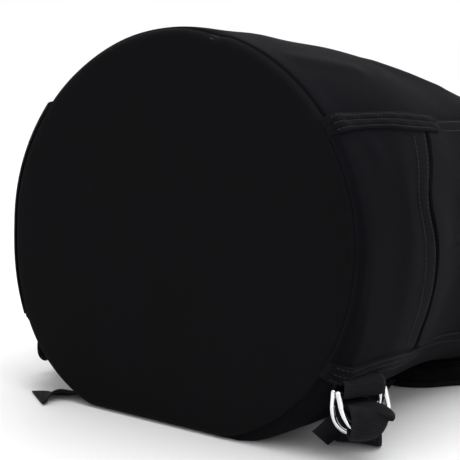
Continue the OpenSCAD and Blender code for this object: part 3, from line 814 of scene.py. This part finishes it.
def build_pockets():
    for side in ("right", "left"):
        f = np.linspace(0, 1, 97)
        y = np.concatenate([np.linspace(1.0, 14, 10), np.linspace(15.5, POCKET_DEPTH - 0.6, 66),
                            [POCKET_DEPTH - 0.15, POCKET_DEPTH]])
        F, Y = np.meshgrid(f, y, indexing="ij")
        A = pocket_grid(side, F, Y)
        shift = mouth_dip(F) * smooth((Y - 40) / (POCKET_DEPTH - 40))
        tuck = -4.0 * (1 - smooth(Y / 5.0))
        lift = pocket_lift(F, Y, A) + tuck
        roll = 0.55 * smooth((Y - POCKET_DEPTH + 1.2) / 1.2)
        outer = skin(A, Y + shift, lift - roll)
        hem = smooth((Y - POCKET_DEPTH + HEM_TAPE + 1.0) / 1.6)
        inner = skin(A, Y + shift, lift - CLOTH + 0.25 - 0.9 * hem + 0.55 * roll)
        obj = shell(side + "_pocket_cloth", outer, inner)
        dress(obj, "canvas", "bag", "canvas", side + "_pocket", side + "_pocket_hem_tape")
        rows = []
        for back in (HEM_TAPE - 2.2, 3.2):
            ff = np.linspace(0.04, 0.96, 120)
            yy = np.full_like(ff, POCKET_DEPTH - back)
            aa = pocket_grid(side, ff, yy)
            ys = yy + mouth_dip(ff) * smooth((yy - 40) / (POCKET_DEPTH - 40))
            lift = pocket_lift(ff, yy, aa)
            p = skin(aa, ys, lift)
            rows.append((p, skin(aa, ys, lift + 1) - p))
        stitches(side + "_pocket_stitching", rows)


build_pockets()


# ---- Long seams past the tapes, and the mouth hem ----
def build_long_seam_stitching():
    rows = []
    for k in range(4):
        for off in (-3.6, 3.6):
            yy = np.linspace(TAPE_LEN + 3, PANEL_END - 3, 200)
            aa = seams(yy)[k] + off / MM_PER_DEG
            lift = body_lift(aa, yy)
            p = skin(aa, yy, lift)
            rows.append((p, skin(aa, yy, lift + 1) - p))
    stitches("long_seam_stitching", rows)


build_long_seam_stitching()

TUNNEL = 6.4
HOLE_Y = BAG_LEN - HEM_DEPTH / 2                 # place of the two cord holes along the bag
HOLE_DEG = 5.5


def hem_wave(a, y):
    flat = 1 - np.exp(-(wrap(np.asarray(a) - 90) / 16) ** 2)
    near_floor = smooth((-np.sin(np.radians(a)) - 0.72) / 0.2)
    pleat = 0.7 * np.abs(np.sin(np.radians(np.asarray(a) * 22))) + 0.6 * ripple(a, y, 12, (12, 26), (60, 140))
    return (cloth_wave(a, PANEL_END) * 0.5 + pleat) * flat * (1 - 0.8 * near_floor)


# Section of the folded hem: along the bag from where the hem starts, and outside the canvas
HEM_SECTION = [(-4.0, -1.0), (-3.6, 0.5), (-1.5, 1.05), (0.6, 0.15), (2.6, 0.2), (6, 1.0), (11, 1.7),
               (15, 1.9), (19, 1.6), (23.5, 0.9), (26.4, 0.1), (28.2, 0.5), (29.6, 0.1), (30.3, -1.4),
               (30.3, -6.6), (29.4, -9.2), (26, -9.9), (19, -10.3), (11, -10.2), (3, -9.9),
               (-2, -9.7), (-4.0, -9.0), (-4.2, -7.8), (-1, -8.0), (8, -8.3), (20, -8.2),
               (27.2, -7.4), (28.6, -5.2), (28.6, -3.0), (27.4, -1.6), (20, -0.6), (8, -0.7),
               (-1.6, -1.3)]


def build_hem():
    """The hem at the mouth: doubled cloth with a tunnel for the drawcord, and its two rows of stitches."""
    a = np.arange(0, 360, 0.75)
    rings = []
    for oy, od in HEM_SECTION:
        y = HEM_START + oy + 0 * a
        ring = skin(a, np.minimum(y, BAG_LEN), od + hem_wave(a, y) * (1.0 if od > -5 else 0.6))
        ring[..., 1] = y
        ring[..., 2] = np.maximum(ring[..., 2], 0.3 + max(0, -od))
        rings.append(ring)
    p = np.stack(rings, 1)
    nu, nv = p.shape[:2]
    verts = to_row(p).reshape(-1, 3)
    faces = []
    for i in range(nu):
        k = (i + 1) % nu
        for j in range(nv):
            n = (j + 1) % nv
            faces.append((i * nv + j, k * nv + j, k * nv + n, i * nv + n))
    uv = surface_uv(to_row(p)).reshape(-1, 2)
    obj = make("mouth_hem_cloth", verts, faces, uv)
    fix_normals(obj)
    dress(obj, "canvas", "bag", "canvas", "mouth_hem")
    rows = []
    for back, od in ((2.6, 0.2), (26.6, 0.15)):
        aa = np.arange(0, 360, 1.0)
        keep = np.abs(np.sin(np.radians(aa)) + 1) > 0.12
        yy = HEM_START + back + 0 * aa
        lift = od + hem_wave(aa, yy)
        q = skin(aa, yy, lift)
        up = skin(aa, yy, lift + 1) - q
        start = int(np.argmin(np.abs(aa - 270)))
        order = np.roll(np.arange(len(aa)), -start)
        order = [k for k in order if keep[k]]
        rows.append((q[order], up[order]))
    stitches("hem_stitching", rows)


build_hem()

# ---- Adjusters ----
BAR_GAP = 2.3
WEB_W = 38.0
WEB_T = 2.0
TILT = math.radians(-5)
ADJUSTERS = {
    "right": dict(at=np.array([146.4, 26, 50.0]), yaw=math.radians(-15), mirror=1, tuck=0),
    "left": dict(at=np.array([-165.0, 66, 45]), yaw=math.radians(3), mirror=-1, tuck=5),
}


def adj(side, u, b, v):
    """Point in mm of adjuster coordinates: u away from the bag, b along the bars, v up."""
    k = ADJUSTERS[side]
    x, y, z = u * k["mirror"], b, v
    y, z = y * math.cos(TILT) - z * math.sin(TILT), y * math.sin(TILT) + z * math.cos(TILT)
    x, y = x * math.cos(k["yaw"]) - y * math.sin(k["yaw"]), x * math.sin(k["yaw"]) + y * math.cos(k["yaw"])
    return k["at"] + np.array([x, y, z])


def adj_dir(side, u, b, v):
    return adj(side, u, b, v) - adj(side, 0, 0, 0)


LOOP_ROUTE = [(0.4, 10.4), (3.4, 8.8), (5.5, 6.2), (5.75, 3), (5.7, 0), (4.7, -2.3), (2.4, -3.25),
              (0, -3.4), (-2.4, -3.25), (-4.7, -2.3), (-5.7, 0), (-5.6, 3), (-4.2, 6.4), (-2, 9),
              (-1, 10.6)]
TURN = [(-11, -11.2, 1), (-8, -10.5, 1), (-4, -9.4, 1), (4.3, -9.2, 1), (11, -9.8, 1),
        (16, -11.7, -2), (18.4, -17.5, -4), (18.8, -24.2, -6), (17.8, -28.7, -6.5), (14.5, -31, -6.5),
        (11, -28.4, -6), (8, -23, -1), (4, -19, 0), (-2.5, -16.4, 1), (-8, -15.2, 1),
        (-11, -14.8, 1)]   # u, v, b


def turned(points, angle):
    """Turns (u, v) points about the outer bar, inwards by angle degrees."""
    c, q = math.cos(math.radians(angle)), math.sin(math.radians(angle))
    return [(BAR_GAP + (u - BAR_GAP) * c + v * q, v * c - (u - BAR_GAP) * q, b) for u, v, b in points]


# Each strap before and after its turn through the rings: (point, direction of its width, half width)
LEADS = {
    "right": dict(
        lead=[((50, 203, 5), (.9, .42, 0), 19), ((61, 166, 3), (.9, .42, 0), 19),
              ((77, 132, 1.9), (.87, .48, 0), 19), ((94, 101, 1.9), (.86, .5, 0), 19),
              ((109, 78, 1.9), (.9, .42, 0), 19), ((122, 61, 1.9), (.95, .3, 0), 17.5),
              ((131.5, 50, 3.4), (.97, .24, 0), 16), ((137, 42, 13), (.9, .42, 0), 15.5),
              ((136.5, 37, 28), (.5, .86, 0), 14.5)],
        tail=[((131, 38, 29), (-.1, .93, -.34), 15), ((126, 34, 22), (-.12, .9, -.42), 18),
              ((120.5, 28.5, 15), (-.12, .9, -.42), 19), ((115.7, 23.8, 9.4), (-.12, .9, -.42), 19)]),
    "left": dict(
        lead=[((-50, 203, 5), (-.87, .5, 0), 19), ((-70, 174, 3), (-.87, .5, 0), 19),
              ((-88, 150, 1.9), (-.9, .4, 0), 19), ((-106, 126, 2.4), (-.93, .36, 0), 19),
              ((-120, 106, 8), (-.8, .6, .1), 19), ((-130, 94, 18), (-.5, .85, .1), 17),
              ((-141, 80, 31), (-.2, .97, -.1), 15)],
        tail=[((-143, 72, 26), (.1, .99, 0), 15), ((-135, 72, 13), (.5, .86, 0), 17),
              ((-123, 64, 3.8), (.9, .4, 0), 19), ((-112, 48, 1.8), (.98, 0, 0), 19),
              ((-108, 30, 1.8), (.98, -.2, 0), 18), ((-113, 14, 3.2), (.8, -.5, .3), 13),
              ((-122, 4, 4.4), (.7, -.55, .45), 12), ((-129, -3, 2.4), (.82, -.55, .1), 17),
              ((-133, -9, 1.6), (.85, -.53, 0), 19)]),
}


def build_ring_loops():
    """Webbing folded round both bars, its ends caught under the lower tape."""
    for side in ("right", "left"):
        bar = adj_dir(side, 0, 1, 0)
        pts = [adj(side, u, 0, v) for u, v in LOOP_ROUTE]
        cup = [0.6, 0.4, 0.2] + [0] * (len(pts) - 6) + [0.1, 0.2, 0.3]
        obj = ribbon(side + "_ring_loop_webbing", pts, [bar] * len(pts), [WEB_W / 2] * len(pts), WEB_T,
                     cup=cup, steps=6, across=13)
        dress(obj, "webbing", "bag", "webbing", side + "_ring_loop")


build_ring_loops()


# Half width and cupping of the webbing at each point of TURN
TURN_HALF = [14] * 2 + [16] * 2 + [17.5, 17.5, 16.5, 15, 14, 13] + [12] * 6
TURN_CUP = [0, 0, 0.8, 1.4, 2, 2.2, 2.2, 2, 1.8, 1.4, 1, 0.6, 0, 0, 0, 0]


def build_straps():
    """Each strap is one ribbon: from the pad to the rings, round the outer ring's bar, and its tail."""
    for side, k in LEADS.items():
        bar = adj_dir(side, 0, 1, 0)
        tuck = ADJUSTERS[side]["tuck"]
        ring = [adj(side, u, b, v) for u, v, b in turned(TURN, tuck)]
        points = [q[0] for q in k["lead"]] + ring + [q[0] for q in k["tail"]]
        wides = [q[1] for q in k["lead"]] + [bar] * len(ring) + [q[1] for q in k["tail"]]
        half = [q[2] for q in k["lead"]] + TURN_HALF + [q[2] for q in k["tail"]]
        cup = [0] * len(k["lead"]) + TURN_CUP + [0] * len(k["tail"])
        flips = []
        last = np.array(wides[0], float)
        for w in wides:
            w = np.array(w, float)
            last = w if w @ last >= 0 else -w
            flips.append(last)
        obj = ribbon(side + "_strap", points, flips, half, WEB_T, cup=cup, steps=7, across=13)
        dress(obj, "webbing", None, "webbing",
              side + "_strap_webbing", side + "_strap_turn", side + "_strap_tail")
        start, end = to_row(adj(side, -13, 0, -13)), to_row(adj(side, -5, 0, -13))
        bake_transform(obj)


build_straps()

# ---- Shoulder pads ----
PAD_ROUTE = [(54, 198), (78, 234), (104, 268), (121, 312), (116, 360), (88, 398), (56, 418), (36, 425)]
PAD_W = 65.0
PAD_STITCH_Z, PAD_EDGE_Z = 8.6, 3.75             # heights of the quilting rows and of the edge rows
PAD_QUILT = (-0.3, 0.3)                          # quilting rows, as shares of the half width


def pad_shape(s):
    round_end = np.sqrt(np.maximum(0.02, 1 - np.maximum(0, 1 - s / 0.13) ** 2))
    return PAD_W / 2 * round_end * (1 - 0.3 * smooth((s - 0.75) / 0.25))


def build_pads():
    for side, mirror in (("right", 1), ("left", -1)):
        path = even(spline(np.array(PAD_ROUTE, float), 12), 2.6)
        t = tangents(path)
        wide = np.stack([t[:, 1], -t[:, 0]], 1)
        s = np.linspace(0, 1, len(path))
        half = pad_shape(s)
        q = np.linspace(-1, 1, 41)
        Q, S = np.meshgrid(q, s, indexing="ij")
        H = np.broadcast_to(half, Q.shape)
        x = path[:, 0] + Q * half * wide[:, 0]
        y = path[:, 1] + Q * half * wide[:, 1]
        inside = (1 - np.abs(Q)) * H                       # distance from the long edges
        from_end = np.minimum(inside, S * 270 + 1.0)          # and from the start of the pad
        flange = smooth((from_end - 5.0) / 9.0)
        quilt = sum(np.exp(-((Q - c) / 0.05) ** 2) for c in PAD_QUILT) * smooth((S - 0.1) / 0.05)
        waves = 0.25 * np.sin(S * 90 + 2 * Q) + 0.2 * np.sin(S * 47 - 3 * Q)
        top = 3.6 + 6.4 * flange - 1.5 * quilt * flange + waves * flange
        edge_roll = 1.2 * np.exp(-((from_end - 1.2) / 1.0) ** 2)
        top = top + edge_roll
        low = 0.35 + 0.5 * (1 - smooth(from_end / 3.0))
        outer = np.stack([x * mirror, y, np.minimum(top, 10.6)], -1)
        inner = np.stack([x * mirror, y, low], -1)
        obj = shell(side + "_shoulder_pad", outer, inner)
        dress(obj, "pad", "bag", "pad_cloth", side + "_pad_face", side + "_pad_foam", side + "_pad_back")
        rows = []
        runs = [(c * half, PAD_STITCH_Z, 0.12, 0.97) for c in PAD_QUILT]
        runs += [(sgn * np.maximum(half - 3.4, 2), PAD_EDGE_Z, 0.03, 0.99) for sgn in (-1, 1)]
        for off, z, first, last in runs:
            k = slice(int(len(s) * first), int(len(s) * last))
            pts = np.stack([(path[:, 0] + off * wide[:, 0]) * mirror, path[:, 1] + off * wide[:, 1],
                            np.full(len(s), z)], 1)[k]
            rows.append((pts, np.tile([0, 0, 1.0], (len(pts), 1))))
        stitches(side + "_pad_stitching", rows)


build_pads()


YOKE_DEG = (246, 294)
YOKE_Y = (430, 468)


def build_yoke():
    """The patch under the bag that both pads are sewn to."""
    a = np.linspace(*YOKE_DEG, 40)
    y = np.linspace(*YOKE_Y, 24)
    A, Y = np.meshgrid(a, y, indexing="ij")
    edge = np.minimum(np.minimum((A - YOKE_DEG[0]) * 2.4, (YOKE_DEG[1] - A) * 2.4),
                      np.minimum(Y - YOKE_Y[0], YOKE_Y[1] - Y))
    lift = CLEAR + 1.3 + 0.7 * smooth(edge / 2.0) - 0.3 * np.exp(-((edge - 4.2) / 0.8) ** 2)
    wave = cloth_wave(A, Y) * 0.2
    obj = shell("yoke_patch_cloth", skin(A, Y, wave + lift), skin(A, Y, wave + 0.45))
    dress(obj, "canvas", "bag", "canvas", "strap_yoke_patch")


build_yoke()

# ---- Haul loop ----
HINGE_Y = BAG_LEN + 3
HAUL_END = BAG_LEN + 95
HAUL_ROUTE = [(438, 6.05), (470, 6.05), (500, 6.05), (HINGE_Y, 6), (HINGE_Y + 20, 2.4),
              (HINGE_Y + 45, 1.5), (HAUL_END - 18, 2.2), (HAUL_END - 4, 7), (HAUL_END - 1.1, 15),
              (HAUL_END - 6, 23.5), (HAUL_END - 18, 27), (HINGE_Y + 45, 25), (HINGE_Y + 20, 15),
              (HINGE_Y, 8.4), (500, 8.15), (470, 8.15), (438, 8.15)]


def build_haul_loop():
    pts = [(0, y, z) for y, z in HAUL_ROUTE]
    half = [19] * 5 + [18.6, 17.5, 15.5, 14.5, 15.5, 17.5, 18.6] + [19] * 5
    cup = [0] * 5 + [0.6, 1.6, 2.6, 3.0, 2.6, 1.6, 0.6] + [0] * 5
    obj = ribbon("haul_loop_webbing", pts, [(1, 0, 0)] * len(pts), half, WEB_T, cup=cup, across=13)
    dress(obj, "webbing", None, "webbing", "haul_loop_tab", "haul_loop")
    start, end = [tuple(to_row(np.array([0, HINGE_Y + past, 7.1]))) for past in (-6, 9)]
    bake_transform(obj)


build_haul_loop()

# ---- Drawcord ----
LOCK_R, LOCK_Y = 7.0, BAG_LEN - 41
LOCK_TILT = math.atan((float(top_z(LOCK_Y - 24)) - float(top_z(LOCK_Y + 12))) / 36)
LOCK_AT = np.array([0, LOCK_Y, float(top_z(LOCK_Y)) + (LOCK_R + 0.6) / math.cos(LOCK_TILT)])
CORD_D = 4.4
BEAD_S = 27.0
BRAID_PITCH = 5.2


def lock_pt(x, s, h):
    """Point x across the lock, s along it towards the base and h above its axis."""
    return LOCK_AT + np.array([x,
                               h * math.sin(LOCK_TILT) - s * math.cos(LOCK_TILT),
                               s * math.sin(LOCK_TILT) + h * math.cos(LOCK_TILT)])


def cord_lead(side):
    a, x = 90 - side * HOLE_DEG, side * (CORD_D / 2 + 0.15)
    return [lock_pt(x, BEAD_S - 3, 0), lock_pt(x, 14, 0), lock_pt(x, 0, 0), lock_pt(x, -10, 0),
            skin(90 - side * 2.6, HOLE_Y - 7.5, 6.6), skin(90 - side * 4.6, HOLE_Y - 2.6, 4.6),
            skin(a, HOLE_Y, 0.5), skin(a, HOLE_Y, -2), skin(90 - side * (HOLE_DEG + 1.4), HOLE_Y, -4.4)]


def tube(name, path, r, sides):
    """A braided cord of radius r along the path."""
    t = tangents(path)
    ref = np.array([0, 1, 0.13])
    u = unit(np.cross(np.broadcast_to(ref, t.shape), t))
    v = np.cross(t, u)
    s = np.concatenate([[0], np.cumsum(np.linalg.norm(np.diff(path, axis=0), axis=1))])
    verts, uvs = [], []
    for i in range(len(path)):
        for k in range(sides):
            ang = 2 * math.pi * k / sides
            turn = s[i] * 2 * math.pi / BRAID_PITCH
            braid = 1 + 0.035 * math.sin(4 * ang + turn) * math.sin(4 * ang - turn)
            verts.append(path[i] + r * braid * (math.cos(ang) * u[i] + math.sin(ang) * v[i]))
            uvs.append((ang * r * MM, s[i] * MM))
    n = len(path)
    faces = [(i * sides + k, i * sides + (k + 1) % sides,
              (i + 1) * sides + (k + 1) % sides, (i + 1) * sides + k)
             for i in range(n - 1) for k in range(sides)]
    faces.append(tuple(range(sides - 1, -1, -1)))
    faces.append(tuple((n - 1) * sides + k for k in range(sides)))
    obj = make(name, to_row(np.array(verts)), faces, np.array(uvs))
    fix_normals(obj)
    return obj


def build_cord():
    ring = [skin(90 - HOLE_DEG - 6 - (360 - 2 * HOLE_DEG - 12) * k / 88, HOLE_Y, -CLOTH - TUNNEL / 2)
            for k in range(89)]
    path = np.concatenate([spline(cord_lead(1), 8), ring, spline(cord_lead(-1), 8)[::-1]])
    obj = tube("drawcord_braid", even(path, 1.6), CORD_D / 2, sides=12)
    dress(obj, "cord", "bag", "cord", "drawcord")


build_cord()


def build_tie_in():
    route = [(-1, 3.2), (6, 4.2), (12, 6), (26, 8.5), (34, 5), (36.5, 0),
             (34, -5), (26, -8.5), (12, -6), (6, -4.2), (-1, -3.2)]
    pts = [(0, CLOTH + 5 + y, 150 + z) for y, z in route]
    obj = ribbon("tie_in_webbing", pts, [(1, 0, 0)] * len(pts), [12.5] * len(pts), 2.0, steps=6)
    dress(obj, "webbing", "bag", "webbing", "tie_in_loop")


build_tie_in()


# ---- Floor, light ----
def build_stage():
    size = 1.3
    verts = [(-size, -size, 0), (size, -size, 0), (size, size, 0), (-size, size, 0)]
    floor = make("floor", verts, [(0, 1, 2, 3)], smooth_faces=False)
    m = Nodes("pale_floor")
    tone = m.noise(m.place(), 3.0, 3.0)
    m.set(Base_Color=m.mix(tone, rgb(0.7, 0.7, 0.7), rgb(0.73, 0.73, 0.73)), Roughness=0.8)
    floor.data.materials.append(m.mat)
    world = bpy.data.worlds.new("studio")
    world.use_nodes = True
    back = world.node_tree.nodes["Background"]
    back.inputs[0].default_value = (1, 1, 1, 1)
    back.inputs[1].default_value = 1.0
    bpy.context.scene.world = world
    for name, place, aim, width, power in (
            ("top_light", (0.6, -0.15, 2.2), (0, -0.1, 0.1), 2.2, 54),
            ("side_light", (2.2, -0.6, 1.2), (0, -0.1, 0.1), 1.2, 4),
            ("rim_light", (-1.6, 1.6, 1.6), (0, 0, 0.1), 1.2, 12)):
        data = bpy.data.lights.new(name, "AREA")
        data.size = width
        data.energy = power
        lamp = bpy.data.objects.new(name, data)
        lamp.location = place
        lamp.rotation_mode = "QUATERNION"
        lamp.rotation_quaternion = (Vector(aim) - Vector(place)).to_track_quat("-Z", "Y")
        collection.objects.link(lamp)


build_stage()
bpy.context.scene.view_settings.view_transform = "Standard"
